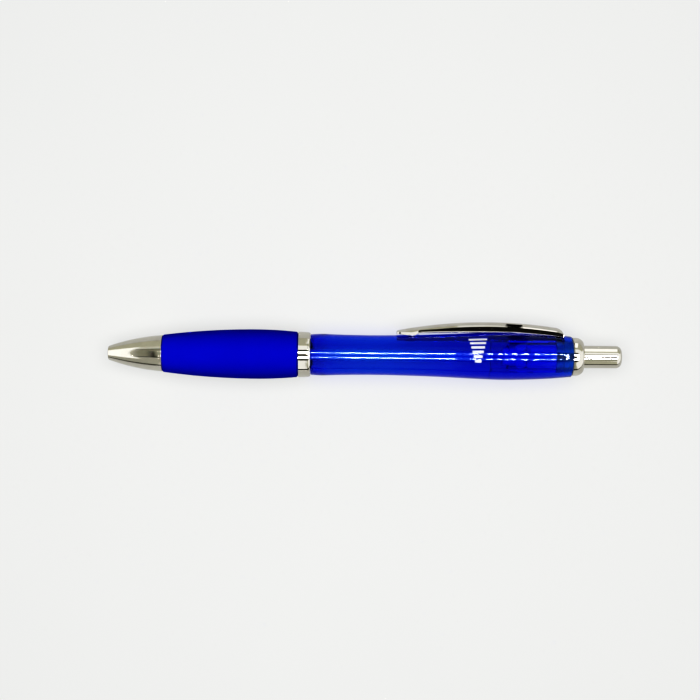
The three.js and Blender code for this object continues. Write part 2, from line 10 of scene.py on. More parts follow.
import bmesh
import bpy
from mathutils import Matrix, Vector


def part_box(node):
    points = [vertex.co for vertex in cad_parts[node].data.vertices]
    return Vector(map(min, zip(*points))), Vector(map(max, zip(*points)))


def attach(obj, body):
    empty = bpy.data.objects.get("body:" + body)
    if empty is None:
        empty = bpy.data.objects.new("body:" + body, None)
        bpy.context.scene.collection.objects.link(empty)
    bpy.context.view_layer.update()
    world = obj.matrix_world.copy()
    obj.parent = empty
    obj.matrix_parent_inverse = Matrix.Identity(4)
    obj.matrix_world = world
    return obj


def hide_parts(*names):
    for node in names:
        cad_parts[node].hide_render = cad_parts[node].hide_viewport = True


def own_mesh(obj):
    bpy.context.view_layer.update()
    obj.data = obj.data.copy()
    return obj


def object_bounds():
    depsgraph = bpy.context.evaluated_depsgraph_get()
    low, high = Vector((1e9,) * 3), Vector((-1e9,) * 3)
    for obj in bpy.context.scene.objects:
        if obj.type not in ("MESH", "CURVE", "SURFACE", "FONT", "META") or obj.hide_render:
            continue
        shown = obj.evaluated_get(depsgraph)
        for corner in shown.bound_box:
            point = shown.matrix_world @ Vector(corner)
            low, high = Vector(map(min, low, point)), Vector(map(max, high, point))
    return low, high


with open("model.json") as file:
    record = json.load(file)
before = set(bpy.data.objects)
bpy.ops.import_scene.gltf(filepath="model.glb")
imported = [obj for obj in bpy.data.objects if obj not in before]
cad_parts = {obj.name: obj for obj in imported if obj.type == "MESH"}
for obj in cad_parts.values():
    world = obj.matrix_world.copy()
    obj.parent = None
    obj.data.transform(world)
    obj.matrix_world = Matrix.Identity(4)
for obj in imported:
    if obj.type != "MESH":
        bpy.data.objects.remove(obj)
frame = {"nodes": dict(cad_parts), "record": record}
cad_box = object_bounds()

# ---- measures

MM = 0.001
MERGE = 2e-7  # points closer than this are one point
CLOSE = 0.01 * MM  # radii closer than this are one surface

nose_low, nose_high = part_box("nose_cone")
AXIS = (nose_low + nose_high) / 2  # a point on the pen's axis, which runs along X
FACE_X = nose_low.x  # the front face; stations are counted from here, in millimetres

BODY_OF = {
    node: body
    for body, nodes in frame["record"]["behaviour"]["bodies"].items()
    for node in nodes
}
RATIO = {c["joint"]: c["ratio"] for c in frame["record"]["behaviour"]["couplings"]}
THREAD_PITCH = RATIO["ring_slide"] * 2 * pi

TURN = 2 * pi
COLUMNS = 144  # facets round a large piece
FINE_COLUMNS = 72  # facets round a piece inside the refill


def station(mm):
    """The X of a place this many millimetres behind the pen's front face."""
    return FACE_X + mm * MM


def around(x, radius, angle):
    """A point at this radius from the axis; angle 0 is +Y and a quarter turn is +Z."""
    return Vector((x, AXIS.y + radius * cos(angle), AXIS.z + radius * sin(angle)))


def lerp(a, b, share):
    return a + (b - a) * share


def clamp(value, low=0.0, high=1.0):
    return max(low, min(high, value))


def ease(share):
    """0 to 1 with flat ends."""
    share = clamp(share)
    return share * share * (3 - 2 * share)


# ---- meshes


def placed(name, data):
    """A new object in the scene."""
    thing = bpy.data.objects.new(name, data)
    bpy.context.scene.collection.objects.link(thing)
    return thing


def smooth(mesh, crease=None):
    """Shades a mesh smooth, apart from its edges over crease degrees."""
    mesh.polygons.foreach_set("use_smooth", [True] * len(mesh.polygons))
    if crease:
        mesh.set_sharp_from_angle(angle=radians(crease))


def mesh_piece(name, vertices, faces, normals=None):
    mesh = bpy.data.meshes.new(name)
    mesh.from_pydata([tuple(v) for v in vertices], [], faces)
    smooth(mesh)
    mesh.update()
    if normals:
        mesh.normals_split_custom_set_from_vertices([tuple(n) for n in normals])
    return placed(name, mesh)


def finish_piece(piece, node, material):
    """The piece stands for a CAD node: same body, and one material slot holding this material."""
    piece.data.materials.clear()
    piece.data.materials.append(material)
    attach(piece, BODY_OF[node])
    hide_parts(node)


def section(node, angle=pi / 2):
    """The (x, radius) points of a CAD node's outline at this angle, and whether it is closed."""
    out = Vector((0, cos(angle), sin(angle)))
    work = bmesh.new()
    work.from_mesh(frame["nodes"][node].data)
    bmesh.ops.remove_doubles(work, verts=work.verts, dist=MERGE)
    everything = work.verts[:] + work.edges[:] + work.faces[:]
    across = out.cross(Vector((1, 0, 0)))
    cut = bmesh.ops.bisect_plane(
        work, geom=everything, dist=MERGE, plane_co=AXIS, plane_no=across
    )["geom_cut"]
    work.verts.index_update()

    def flat(vert):
        return Vector((vert.co.x, (vert.co - AXIS).dot(out)))

    links = {}
    for edge in (e for e in cut if isinstance(e, bmesh.types.BMEdge)):
        ends = [flat(v) for v in edge.verts]
        if min(e.y for e in ends) < -MERGE or max(e.y for e in ends) < MERGE:
            continue
        first, second = edge.verts
        links.setdefault(first.index, []).append(second.index)
        links.setdefault(second.index, []).append(first.index)
    places = {v.index: flat(v) for v in work.verts}
    work.free()
    loose = [v for v, near in links.items() if len(near) == 1]
    start = loose[0] if loose else next(iter(links))
    chain, last = [start], None
    while True:
        onward = [v for v in links[chain[-1]] if v != last]
        if not onward or onward[0] == start:
            break
        last = chain[-1]
        chain.append(onward[0])
    points = [places[v] for v in chain]
    closed = not loose
    area = sum(a.x * b.y - b.x * a.y for a, b in zip(points, points[1:] + points[:1]))
    return (points[::-1] if area > 0 else points), closed


STRAIGHT = radians(0.12)  # an outline that turns less than this at a point is straight there
CORNER = radians(27)  # one that turns more than this has a real corner there
BEND_STEP = radians(1.5)
LONG = 3  # a stretch this many times longer than the next one is straight up to their joint
CORNER_STEPS = 4
CORNER_SHARE = 0.42  # how much of a short stretch a rounded corner may take up
CREASE = 35  # an edge over this many degrees stays sharp


def unit(a, b):
    return (b - a).normalized()


def turn_between(u, v):
    return acos(clamp(u.dot(v), -1, 1))


def without_straights(points, closed):
    """Drops the points that lie on a straight line between their neighbours."""
    kept = []
    count = len(points)
    for i, point in enumerate(points):
        if not closed and i in (0, count - 1):
            kept.append(point)
            continue
        before = kept[-1] if kept else points[i - 1]
        after = points[(i + 1) % count]
        if (point - before).length < MERGE or (after - point).length < MERGE:
            continue
        if turn_between(unit(before, point), unit(point, after)) > STRAIGHT:
            kept.append(point)
    return kept


def tangents(points, closed, corner):
    """The outline's direction at each point, or None at a corner or a loose end."""
    count = len(points)
    found = []
    for i, point in enumerate(points):
        if not closed and i in (0, count - 1):
            found.append(None)
            continue
        before, after = points[i - 1], points[(i + 1) % count]
        arriving, leaving = unit(before, point), unit(point, after)
        near, far = (point - before).length, (after - point).length
        if turn_between(arriving, leaving) > corner:
            found.append(None)
        elif near > LONG * far:
            found.append(arriving)
        elif far > LONG * near:
            found.append(leaving)
        else:
            found.append((arriving * far + leaving * near).normalized())
    return found


def curved(points, closed, corner=CORNER):
    """The outline with its shallow bends drawn as smooth curves through the same points."""
    directions = tangents(points, closed, corner)
    count = len(points)
    fine = []
    for i in range(count if closed else count - 1):
        a, b = points[i], points[(i + 1) % count]
        chord = unit(a, b)
        length = (b - a).length
        start, end = directions[i], directions[(i + 1) % count]
        start_guess = chord if end is None else 2 * chord.dot(end) * chord - end
        end_guess = chord if start is None else 2 * chord.dot(start) * chord - start
        start, end = start or start_guess, end or end_guess
        bend = turn_between(start, chord) + turn_between(chord, end)
        steps = max(1, ceil(bend / BEND_STEP))
        for k in range(steps):
            t = k / steps
            fine.append(
                (2 * t**3 - 3 * t**2 + 1) * a
                + (t**3 - 2 * t**2 + t) * length * start
                + (3 * t**2 - 2 * t**3) * b
                + (t**3 - t**2) * length * end
            )
    if not closed:
        fine.append(points[-1])
    return fine


def rounded(points, closed, radius, corner=CORNER):
    """The outline with its corners rounded off."""
    count = len(points)
    fine = []
    for i, point in enumerate(points):
        if not closed and i in (0, count - 1):
            fine.append(point)
            continue
        before, after = points[i - 1], points[(i + 1) % count]
        arriving, leaving = unit(before, point), unit(point, after)
        turn = turn_between(arriving, leaving)
        if turn < corner:
            fine.append(point)
            continue
        room = CORNER_SHARE * min((point - before).length, (after - point).length)
        trim = min(radius * tan(turn / 2), room)
        start, end = point - arriving * trim, point + leaving * trim
        for k in range(CORNER_STEPS + 1):
            t = k / CORNER_STEPS
            fine.append((1 - t) ** 2 * start + 2 * t * (1 - t) * point + t * t * end)
    return fine


def outline_of(node, edge=0.06, angle=pi / 2, corner=CORNER):
    """A CAD node's outline, smooth and with its corners rounded by edge millimetres."""
    points, closed = section(node, angle)
    points = without_straights(points, closed)
    return rounded(curved(points, closed, corner), closed, edge * MM, corner), closed


def sweep(name, outline, closed, columns=COLUMNS, warp=None):
    """Turns an outline round the axis. warp moves each (x, radius) by its angle."""
    vertices, normals, rows = [], [], []
    count = len(outline)
    for i, point in enumerate(outline):
        before = outline[i - 1] if closed or i else point
        after = outline[(i + 1) % count] if closed or i < count - 1 else point
        along = unit(before, after)
        on_axis = point.y < MERGE
        row = []
        for j in range(1 if on_axis else columns):
            angle = TURN * j / columns
            x, radius = warp(point.x, point.y, angle) if warp else point
            row.append(len(vertices))
            vertices.append(around(x, 0 if on_axis else radius, angle))
            side = 0 if on_axis else along.x
            normals.append((-along.y, side * cos(angle), side * sin(angle)))
        rows.append(row * columns if on_axis else row)
    faces = []
    for i in range(count if closed else count - 1):
        lower, upper = rows[i], rows[(i + 1) % count]
        for j in range(columns):
            k = (j + 1) % columns
            corners = (lower[j], lower[k], upper[k], upper[j])
            face = tuple(dict.fromkeys(corners))
            if len(face) > 2:
                faces.append(face)
    return mesh_piece(name, vertices, faces, None if warp else normals)


def turned(node, material, edge=0.06, columns=COLUMNS, corner=CORNER):
    outline, closed = outline_of(node, edge, corner=corner)
    finish_piece(sweep(node + "_turned", outline, closed, columns), node, material)


def length_of(node):
    """A node's length along the pen, in millimetres."""
    low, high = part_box(node)
    return (high.x - low.x) / MM


def varied(name, node, material, outline_at, columns=COLUMNS, closed=True):
    """Sweeps an outline that changes with the angle.

    outline_at(angle) gives (x, radius) points in millimetres, with x counted from the front end.
    """
    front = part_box(node)[0].x
    work = bmesh.new()
    rows = []
    for j in range(columns):
        angle = TURN * j / columns
        places = [around(front + x * MM, radius * MM, angle) for x, radius in outline_at(angle)]
        rows.append([work.verts.new(place) for place in places])
    count = len(rows[0])
    for j, row in enumerate(rows):
        beside = rows[(j + 1) % columns]
        for i in range(count if closed else count - 1):
            k = (i + 1) % count
            work.faces.new((row[i], beside[i], beside[k], row[k]))
    bmesh.ops.remove_doubles(work, verts=work.verts, dist=MERGE)
    bmesh.ops.recalc_face_normals(work, faces=work.faces)
    mesh = bpy.data.meshes.new(name)
    work.to_mesh(mesh)
    work.free()
    smooth(mesh, CREASE)
    finish_piece(placed(name, mesh), node, material)


# ---- material nodes


class Nodes:
    """A new material's node tree, with short ways to add what the finishes below share."""

    def __init__(self, name):
        self.material = bpy.data.materials.new(name)
        self.material.use_nodes = True
        self.tree = self.material.node_tree
        self.shader = self.tree.nodes["Principled BSDF"]
        self.output = self.tree.nodes["Material Output"]
        self.place = self.add("ShaderNodeTexCoord").outputs["Object"]

    def fill(self, node, inputs):
        """Gives each named input a value, or links it to another node's output."""
        for key, value in inputs.items():
            if isinstance(value, bpy.types.NodeSocket):
                self.tree.links.new(value, node.inputs[key])
            else:
                node.inputs[key].default_value = value

    def add(self, kind, inputs=None, **settings):
        node = self.tree.nodes.new(kind)
        for key, value in settings.items():
            setattr(node, key, value)
        self.fill(node, inputs or {})
        return node

    def set(self, **inputs):
        """Fills the shader's inputs, named with _ for each space."""
        self.fill(self.shader, {key.replace("_", " "): value for key, value in inputs.items()})

    def along(self):
        """The place along the pen, in metres."""
        return self.add("ShaderNodeSeparateXYZ", {"Vector": self.place}).outputs["X"]

    def joined(self, operation, first, second):
        node = self.add("ShaderNodeMath", {0: first, 1: second}, operation=operation)
        return node.outputs["Value"]

    def noise(self, grain, stretch=(1, 1, 1), detail=3.0):
        """Noise whose grains are this many millimetres long, stretched by a factor on each axis."""
        scale = tuple(1 / (grain * MM * s) for s in stretch)
        mapping = self.add("ShaderNodeMapping", {"Vector": self.place, "Scale": scale})
        inputs = {"Vector": mapping.outputs["Vector"], "Scale": 1, "Detail": detail}
        return self.add("ShaderNodeTexNoise", inputs).outputs["Fac"]

    def ranged(self, source, low, high, from_low=0.3, from_high=0.7):
        inputs = {"From Min": from_low, "From Max": from_high, "To Min": low, "To Max": high}
        return self.add("ShaderNodeMapRange", {"Value": source, **inputs}).outputs["Result"]

    def blend(self, share, first, second):
        """The colour goes from first to second as share goes from 0 to 1."""
        inputs = {"Factor": share, "A": (*first, 1), "B": (*second, 1)}
        mix = self.add("ShaderNodeMix", inputs, data_type="RGBA")
        self.set(Base_Color=mix.outputs["Result"])

    def tones(self, source, first, second):
        """The same, as a noise rises."""
        self.blend(self.ranged(source, 0, 1), first, second)

    def bump(self, source, depth, strength=1.0, normal=None):
        """A surface that stands up to this many millimetres proud where source is 1."""
        inputs = {"Strength": strength, "Distance": depth * MM, "Height": source}
        if normal:
            inputs["Normal"] = normal
        bumped = self.add("ShaderNodeBump", inputs).outputs["Normal"]
        self.set(Normal=bumped)
        return bumped


SATIN, POLISH_EDGE = 0.3, 0.05 * MM


def chrome(name, bright, dull, low_rough=0.03, high_rough=0.07, satin_before=None):
    """Plating over a turned or pressed part: faint turning marks, handling haze, fine dents.

    It stays satin in front of satin_before, where the part is hidden and isn't polished.
    """
    nodes = Nodes(name)
    nodes.set(Metallic=1.0)
    haze = nodes.noise(3.5, detail=4)
    marks = nodes.noise(0.05, stretch=(1, 60, 60), detail=2)
    nodes.tones(haze, bright, dull)
    polish = nodes.ranged(haze, low_rough, high_rough)
    if satin_before is not None:
        satin = nodes.ranged(nodes.along(), SATIN, 0, satin_before, satin_before + POLISH_EDGE)
        polish = nodes.joined("MAXIMUM", polish, satin)
    nodes.set(Roughness=polish)
    ripple = nodes.bump(nodes.noise(1.6, detail=1), 0.004)
    nodes.bump(marks, 0.0006, normal=ripple)
    return nodes.material


def grip_rubber():
    """Soft-touch elastomer: matte, with a fine moulded grain, and a painted sheen that makes it
    paler towards its front, in patches.
    """
    nodes = Nodes("soft_touch_grip")
    nodes.set(Specular_IOR_Level=0.07)
    # The pale blue is a painted sheen, not a colour of the rubber: it fades in from the front,
    # broken up by a noise that also sets the roughness.
    deep, pale = (0.001, 0.0015, 0.50), (0.002, 0.006, 0.56)
    sheen_share = 0.55  # of the grip's length, from its front
    sheen_and_rough_patches = nodes.noise(7, detail=2)
    low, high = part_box("grip_sleeve")
    forward = nodes.ranged(nodes.along(), 1, 0, low.x, lerp(low.x, high.x, sheen_share))
    share = nodes.joined("MULTIPLY", forward, nodes.ranged(sheen_and_rough_patches, 0.4, 1))
    nodes.blend(share, deep, pale)
    nodes.set(Roughness=nodes.ranged(sheen_and_rough_patches, 0.56, 0.7))
    grain = nodes.bump(nodes.noise(0.09, detail=2), 0.012, 0.6)
    nodes.bump(nodes.noise(1.2, detail=1), 0.01, 0.5, grain)
    return nodes.material


def clear_blue():
    """Moulded translucent plastic: tinted by its depth, glossy, with faint flow ripples.

    Lamps shine through it onto what it holds, dimmed and tinted, as they do through a real wall.
    """
    nodes = Nodes("clear_blue_plastic")
    nodes.set(IOR=1.49, Transmission_Weight=1)
    nodes.set(Base_Color=(0.75, 0.9, 1.0, 1), Specular_Tint=(0.36, 0.5, 1.0, 1))
    flow = nodes.noise(6, stretch=(3, 1, 1), detail=2)
    nodes.set(Roughness=nodes.ranged(nodes.noise(2, detail=3), 0.01, 0.04))
    nodes.bump(flow, 0.006, 0.5)
    absorbed = {"Color": (0.0, 0.655, 0.987, 1), "Density": 2300}
    tint = nodes.add("ShaderNodeVolumeAbsorption", absorbed)
    shadow_ray = nodes.add("ShaderNodeLightPath").outputs["Is Shadow Ray"]
    through = nodes.add("ShaderNodeBsdfTransparent", {"Color": (0.9, 0.94, 1, 1)})
    shaders = {1: nodes.shader.outputs["BSDF"], 2: through.outputs["BSDF"]}
    choice = nodes.add("ShaderNodeMixShader", {"Fac": shadow_ray, **shaders})
    surface, volume = choice.outputs["Shader"], tint.outputs["Volume"]
    nodes.fill(nodes.output, {"Surface": surface, "Volume": volume})
    return nodes.material


def moulded(name, colour, shade, rough, clear=0.0):
    """Plain moulded plastic: a slight mottle, a satin skin and fine mould texture."""
    nodes = Nodes(name)
    mottle = nodes.noise(1.8, detail=3)
    nodes.tones(mottle, colour, shade)
    nodes.set(Roughness=nodes.ranged(mottle, rough * 0.85, rough * 1.2))
    nodes.set(Transmission_Weight=clear)
    nodes.bump(nodes.noise(0.2, detail=2), 0.004, 0.6)
    return nodes.material


def machined(name, colour, shade, rough):
    """Bare metal with turning marks round the axis and a little tarnish."""
    nodes = Nodes(name)
    nodes.set(Metallic=1.0)
    tarnish = nodes.noise(0.9, detail=4)
    nodes.tones(tarnish, colour, shade)
    nodes.set(Roughness=nodes.ranged(tarnish, rough * 0.8, rough * 1.4))
    nodes.bump(nodes.noise(0.04, stretch=(1, 40, 40), detail=2), 0.003, 0.7)
    return nodes.material


def screen_ink():
    """Pad-printed white: thin, slightly uneven, with a fine satin texture."""
    nodes = Nodes("white_print")
    cover = nodes.noise(0.5, detail=4)
    nodes.tones(cover, (0.86, 0.86, 0.87), (0.74, 0.75, 0.8))
    nodes.set(Roughness=nodes.ranged(cover, 0.35, 0.5))
    nodes.bump(nodes.noise(0.12, detail=2), 0.003, 0.5)
    return nodes.material


PLATING = (0.74, 0.72, 0.66), (0.68, 0.66, 0.6)
CHROME = chrome("chrome_plating", *PLATING)
NOSE_CHROME = chrome("chrome_plated_nose", *PLATING, 0.08, 0.13)
CAP_CHROME = chrome("chrome_plated_cap", *PLATING, satin_before=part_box("rear_barrel")[1].x)
SHEET_CHROME = chrome("chrome_plated_sheet", (0.74, 0.72, 0.67), (0.66, 0.64, 0.59))
GRIP_RUBBER = grip_rubber()
CLEAR_BLUE = clear_blue()
WHITE_PLASTIC = moulded("white_acetal", (0.82, 0.82, 0.79), (0.76, 0.76, 0.73), 0.35)
NATURAL_PLASTIC = moulded("milky_plastic", (0.8, 0.83, 0.86), (0.74, 0.77, 0.8), 0.25, 0.25)
BLUE_INK = moulded("blue_paste_ink", (0.005, 0.01, 0.1), (0.004, 0.007, 0.07), 0.2)
GREASE = moulded("follower_grease", (0.62, 0.55, 0.3), (0.55, 0.48, 0.26), 0.3)
BRASS = machined("point_brass", (0.78, 0.6, 0.28), (0.62, 0.46, 0.22), 0.22)
CARBIDE = machined("ball_carbide", (0.42, 0.42, 0.43), (0.36, 0.36, 0.37), 0.16)
SPRING_STEEL = machined("spring_wire", (0.62, 0.61, 0.58), (0.52, 0.51, 0.49), 0.24)
PRINT = screen_ink()


# ---- turned pieces


def centre_ring():
    """The trim ring: its rear edge falls away in a soft curve before the corner."""
    fall = 0.08 * MM
    fall_steps = 12
    outline, closed = outline_of("centre_ring")
    rear = max(p.x for p in outline)
    start, end = rear - 0.75 * MM, rear - 0.2 * MM
    outer = max(p.y for p in outline) - 0.3 * MM
    fine = []
    for i, a in enumerate(outline):
        b = outline[(i + 1) % len(outline)]
        outside = min(a.y, b.y) > outer
        falls = max(a.x, b.x) > start > min(a.x, b.x) - 1 * MM
        steps = fall_steps if outside and falls else 1
        fine += [a.lerp(b, k / steps) for k in range(steps)]
    for p in fine:
        if p.y > outer and p.x > start:
            p.y -= fall * (min(p.x, end) - start) ** 2 / (end - start) ** 2
    finish_piece(sweep("centre_ring_turned", fine, closed), "centre_ring", CHROME)


CONE_CORNER = radians(8)  # a cone with softer corners would touch the nose's bore

turned("nose_cone", NOSE_CHROME, edge=0.08)
turned("grip_sleeve", GRIP_RUBBER, edge=0.25)
centre_ring()
turned("end_cap", CAP_CHROME)
turned("push_button", CHROME, edge=0.05)
turned("ink_column", BLUE_INK, columns=FINE_COLUMNS)
turned("ink_follower", GREASE, columns=FINE_COLUMNS)
turned("point_holder", NATURAL_PLASTIC, edge=0.05, columns=FINE_COLUMNS)
turned("point_cone", BRASS, edge=0.02, columns=FINE_COLUMNS, corner=CONE_CORNER)
turned("writing_ball", CARBIDE, columns=FINE_COLUMNS)


# ---- screw joint and barrels

# The thread, in millimetres and turns.
THREAD_TURNS = 3.2
THREAD_LEAD_IN = 1.3  # from the neck's end to the middle of the ridge's first turn
RIDGE_ROOT, RIDGE_CREST = 0.45, 0.2  # half the ridge's width, at the neck and at the top
RIDGE_HEIGHT = 0.45
RIDGE_FADE = 0.32  # turns over which each end of the ridge rises
ROW_STEP = 0.08  # between the rows along a threaded stretch
neck_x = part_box("rear_barrel")[0].x


def ridge(x, angle, clearance=0.0, fade=True):
    """The height of the screw ridge at this place, in metres."""
    turns = ((x - neck_x) / MM - THREAD_LEAD_IN) / (THREAD_PITCH / MM)
    along = angle / TURN + round(turns - angle / TURN)
    if fade and not 0 <= along <= THREAD_TURNS:
        return 0
    offset = abs(turns - along) * THREAD_PITCH / MM
    slope = (RIDGE_ROOT + clearance - offset) / (RIDGE_ROOT - RIDGE_CREST)
    ends = min(1, along / RIDGE_FADE, (THREAD_TURNS - along) / RIDGE_FADE) if fade else 1
    return (RIDGE_HEIGHT + clearance) * MM * clamp(slope) * ends


def with_rows(outline, closed, radius):
    """The outline with close rows wherever it runs straight at this radius."""
    fine = []
    for i, a in enumerate(outline):
        fine.append(a)
        b = outline[(i + 1) % len(outline)]
        level = abs(a.y - radius) < MERGE * 10 and abs(b.y - radius) < MERGE * 10
        if not level or (i == len(outline) - 1 and not closed):
            continue
        steps = max(1, round(abs(b.x - a.x) / (ROW_STEP * MM)))
        fine += [a.lerp(b, k / steps) for k in range(1, steps)]
    return fine


def threaded(node, angle, root, keep, warp, edge, reshape=lambda p: p):
    """A barrel swept from its plain outline, with the screw's ridge or groove put back finely."""
    points, closed = section(node, angle)
    points = without_straights([reshape(p) for p in points if keep(p)], closed)
    outline = rounded(curved(points, closed), closed, edge * MM)
    return sweep(node + "_turned", with_rows(outline, closed, root), closed, warp=warp)


def combine(piece, operation, *others, crease=CREASE):
    """Cuts or joins solids, which are then gone."""
    for other in others:
        modifier = piece.modifiers.new(operation, "BOOLEAN")
        modifier.operation = operation
        modifier.solver = "EXACT"
        modifier.object = other
        graph = bpy.context.evaluated_depsgraph_get()
        mesh = bpy.data.meshes.new_from_object(piece.evaluated_get(graph))
        piece.modifiers.clear()
        piece.data = mesh
        bpy.data.objects.remove(other)
    smooth(piece.data, crease)


NECK_RADIUS = 3.9 * MM
NECK_END = neck_x + 7.1 * MM
BARREL_BORE = 4.2 * MM
TAPER_FORWARD, TAPER_BACK = -2.7 * MM, 2.3 * MM  # how far the step's two ends are moved apart
# The hole for the clip's tongue, in millimetres: counted forwards from the rim, and over the axis.
SLOT_REAR, SLOT_FRONT, POCKET_FRONT = 3.0, 4.3, 6.9
SLOT_WIDTH, SLOT_HEIGHTS, POCKET_HEIGHTS = 3.6, (4, 8), (4.0, 5.15)


def rim_block(name, front, heights):
    """A box that cuts the barrel's clip side, from front to the slot's rear end."""
    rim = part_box("rear_barrel")[1].x
    corners = [
        Vector((rim - back * MM, AXIS.y + height * MM, AXIS.z + side * SLOT_WIDTH * MM / 2))
        for back in (front, SLOT_REAR)
        for height in heights
        for side in (-1, 1)
    ]
    faces = [(0, 1, 3, 2), (4, 6, 7, 5), (0, 4, 5, 1), (2, 3, 7, 6), (0, 2, 6, 4), (1, 5, 7, 3)]
    return mesh_piece(name, corners, faces)


def rear_barrel():
    def keep(p):
        return not (p.x < NECK_END and p.y > NECK_RADIUS + CLOSE)

    def with_ridge(x, radius, angle):
        on_neck = x < NECK_END + 5 * CLOSE and abs(radius - NECK_RADIUS) < CLOSE
        return x, radius + (ridge(x, angle) if on_neck else 0)

    def eased_step(p):
        """Draws the step between the neck's bore and the barrel's out into a long taper."""
        if p.y > BARREL_BORE + CLOSE or not NECK_END < p.x < neck_x + 20 * MM:
            return p
        return Vector((p.x + (TAPER_BACK if p.y > NECK_RADIUS else TAPER_FORWARD), p.y))

    piece = threaded("rear_barrel", pi, NECK_RADIUS, keep, with_ridge, 0.06, eased_step)
    slot = rim_block("slot", SLOT_FRONT, SLOT_HEIGHTS)
    pocket = rim_block("pocket", POCKET_FRONT, POCKET_HEIGHTS)
    combine(piece, "DIFFERENCE", slot, pocket)
    finish_piece(piece, "rear_barrel", CLEAR_BLUE)


def front_barrel():
    bore, thread_depth = 4.02 * MM, 0.6 * MM
    start = neck_x - 1 * MM
    groove_start = neck_x + 0.9 * MM
    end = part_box("front_barrel")[1].x - 0.1 * MM

    def keep(p):
        return not (start < p.x < end and CLOSE < abs(p.y - bore) < thread_depth)

    def with_groove(x, radius, angle):
        if x <= groove_start or abs(radius - bore) >= CLOSE:
            return x, radius
        return x, radius + max(0, ridge(x, angle, clearance=0.1, fade=False) - (bore - NECK_RADIUS))

    piece = threaded("front_barrel", pi / 2, bore, keep, with_groove, 0.1)
    finish_piece(piece, "front_barrel", CLEAR_BLUE)


rear_barrel()
front_barrel()


# ---- click mechanism

TEETH = 8
TOOTH_HEIGHT = 1.2
GUIDES = 4


def tooth(angle):
    """The crown's profile: 1 at each tip, 0 in each valley."""
    return 1 - 2 * abs(angle / TURN * TEETH - round(angle / TURN * TEETH))


def within(angle, start, end):
    """How far the angle is through a feature that repeats with every guide, or None outside it."""
    bearing = degrees(angle) % (360 / GUIDES)
    for shifted in (bearing, bearing - 360 / GUIDES):
        if start <= shifted <= end:
            return (shifted - start) / (end - start)
    return None


def cam_sleeve():
    length = length_of("cam_sleeve")
    outer = (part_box("cam_sleeve")[1].y - AXIS.y) / MM
    groove, land = outer - 0.45, outer - 1.15
    front, notch, edge = 4.2, 0.7, 0.08

    def outline(angle):
        along = within(angle, 18, 72)
        face = front + notch * (2 * along % 1) if along is not None else front
        inner = land if along is not None else groove
        return [
            (0, groove), (0, outer - edge), (edge, outer), (length - edge, outer),
            (length, outer - edge), (length, inner), (face, inner), (face, groove),
        ]

    varied("cam_sleeve_guide", "cam_sleeve", CLEAR_BLUE, outline, 160)


def thrust_cam():
    length = length_of("thrust_cam")
    base = TOOTH_HEIGHT
    body, crown, bore, stem, rib_radius = 3.1, 1.9, 1.7, 2.4, 3.85
    rib_start, rib_end, edge, stem_edge = base + 0.5, base + 6.7, 0.1, 0.3
    shoulder, bore_end = base + 6.85, base + 5.9

    def outline(angle):
        tip = base - TOOTH_HEIGHT * tooth(angle)
        rib = rib_radius if within(angle, -16, 16) is not None else body
        return [
            (bore_end, 0), (bore_end, bore), (base, bore), (base, crown), (tip, crown),
            (tip, body), (rib_start, body), (rib_start + edge, rib), (rib_end, rib),
            (rib_end, body), (shoulder - edge, body), (shoulder, body - edge), (shoulder, stem),
            (length - stem_edge, stem), (length, stem - stem_edge), (length, 0),
        ]

    varied("thrust_cam_plunger", "thrust_cam", WHITE_PLASTIC, outline, closed=False)


def rotor():
    length = length_of("rotor")
    base = 5
    body, crown, pin, socket, neck, edge = 2.95, 1.9, 1.5, 1.6, 2.4, 0.2
    fin_radius, fin_inside, slant = 3.85, 3.2, 0.36
    fin_start, fin_end = 3.9, 6.7

    def outline(angle):
        tip = base + TOOTH_HEIGHT * tooth(angle)
        along = within(angle, -16.3, -4.3)
        if along is None:
            fin = [(fin_start, body)] * 4
        else:
            end = fin_end - slant * (1 - along)
            crest = [(fin_start, fin_radius), (end, fin_radius)]
            fin = crest + [(end, fin_inside), (base, fin_inside)]
        return [
            (2.5, 0), (2.5, socket), (0, socket), (0, neck), (3, neck), (3.5, body),
            (fin_start, body), *fin, (base, body), (tip, body), (tip, crown), (base, crown),
            (base, pin), (length - edge, pin), (length, pin - edge), (length, 0),
        ]

    varied("rotor_index", "rotor", WHITE_PLASTIC, outline, 180, closed=False)


def refill_tube():
    length = length_of("refill_tube")
    tube, bore, edge = 1.5, 1, 0.05
    ear, ear_start, ear_length, ear_width = 0.6, 19.2, 1.6, 40
    rows = 12

    def outline(angle):
        bearing = (degrees(angle) + 90) % 180 - 90
        side = sqrt(clamp(1 - (2 * bearing / ear_width) ** 2))
        ears = []
        for k in range(rows + 1):
            end = sin(pi * k / rows)
            ears.append((ear_start + ear_length * k / rows, tube + ear * side * end))
        return [
            (0, bore), (0, tube - edge), (edge, tube), *ears,
            (length - edge, tube), (length, tube - edge), (length, bore),
        ]

    varied("refill_tube_drawn", "refill_tube", NATURAL_PLASTIC, outline, FINE_COLUMNS)


cam_sleeve()
thrust_cam()
rotor()
refill_tube()


# ---- return spring

WIRE = 0.2 * MM
ACTIVE_TURNS, CLOSED_TURNS = 9, 1
CLOSED_PITCH = 0.42 * MM
spring_low, spring_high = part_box("return_spring")


def coil_point(turn):
    """The middle of the wire after this many turns, counted from the spring's front end."""
    start, end = spring_low.x + WIRE, spring_high.x - WIRE
    mean = (spring_high.y - spring_low.y) / 2 - WIRE
    pitch = (end - start - 2 * CLOSED_TURNS * CLOSED_PITCH) / ACTIVE_TURNS
    active = clamp(turn - CLOSED_TURNS, 0, ACTIVE_TURNS)
    return around(start + CLOSED_PITCH * (turn - active) + pitch * active, mean, TURN * turn)


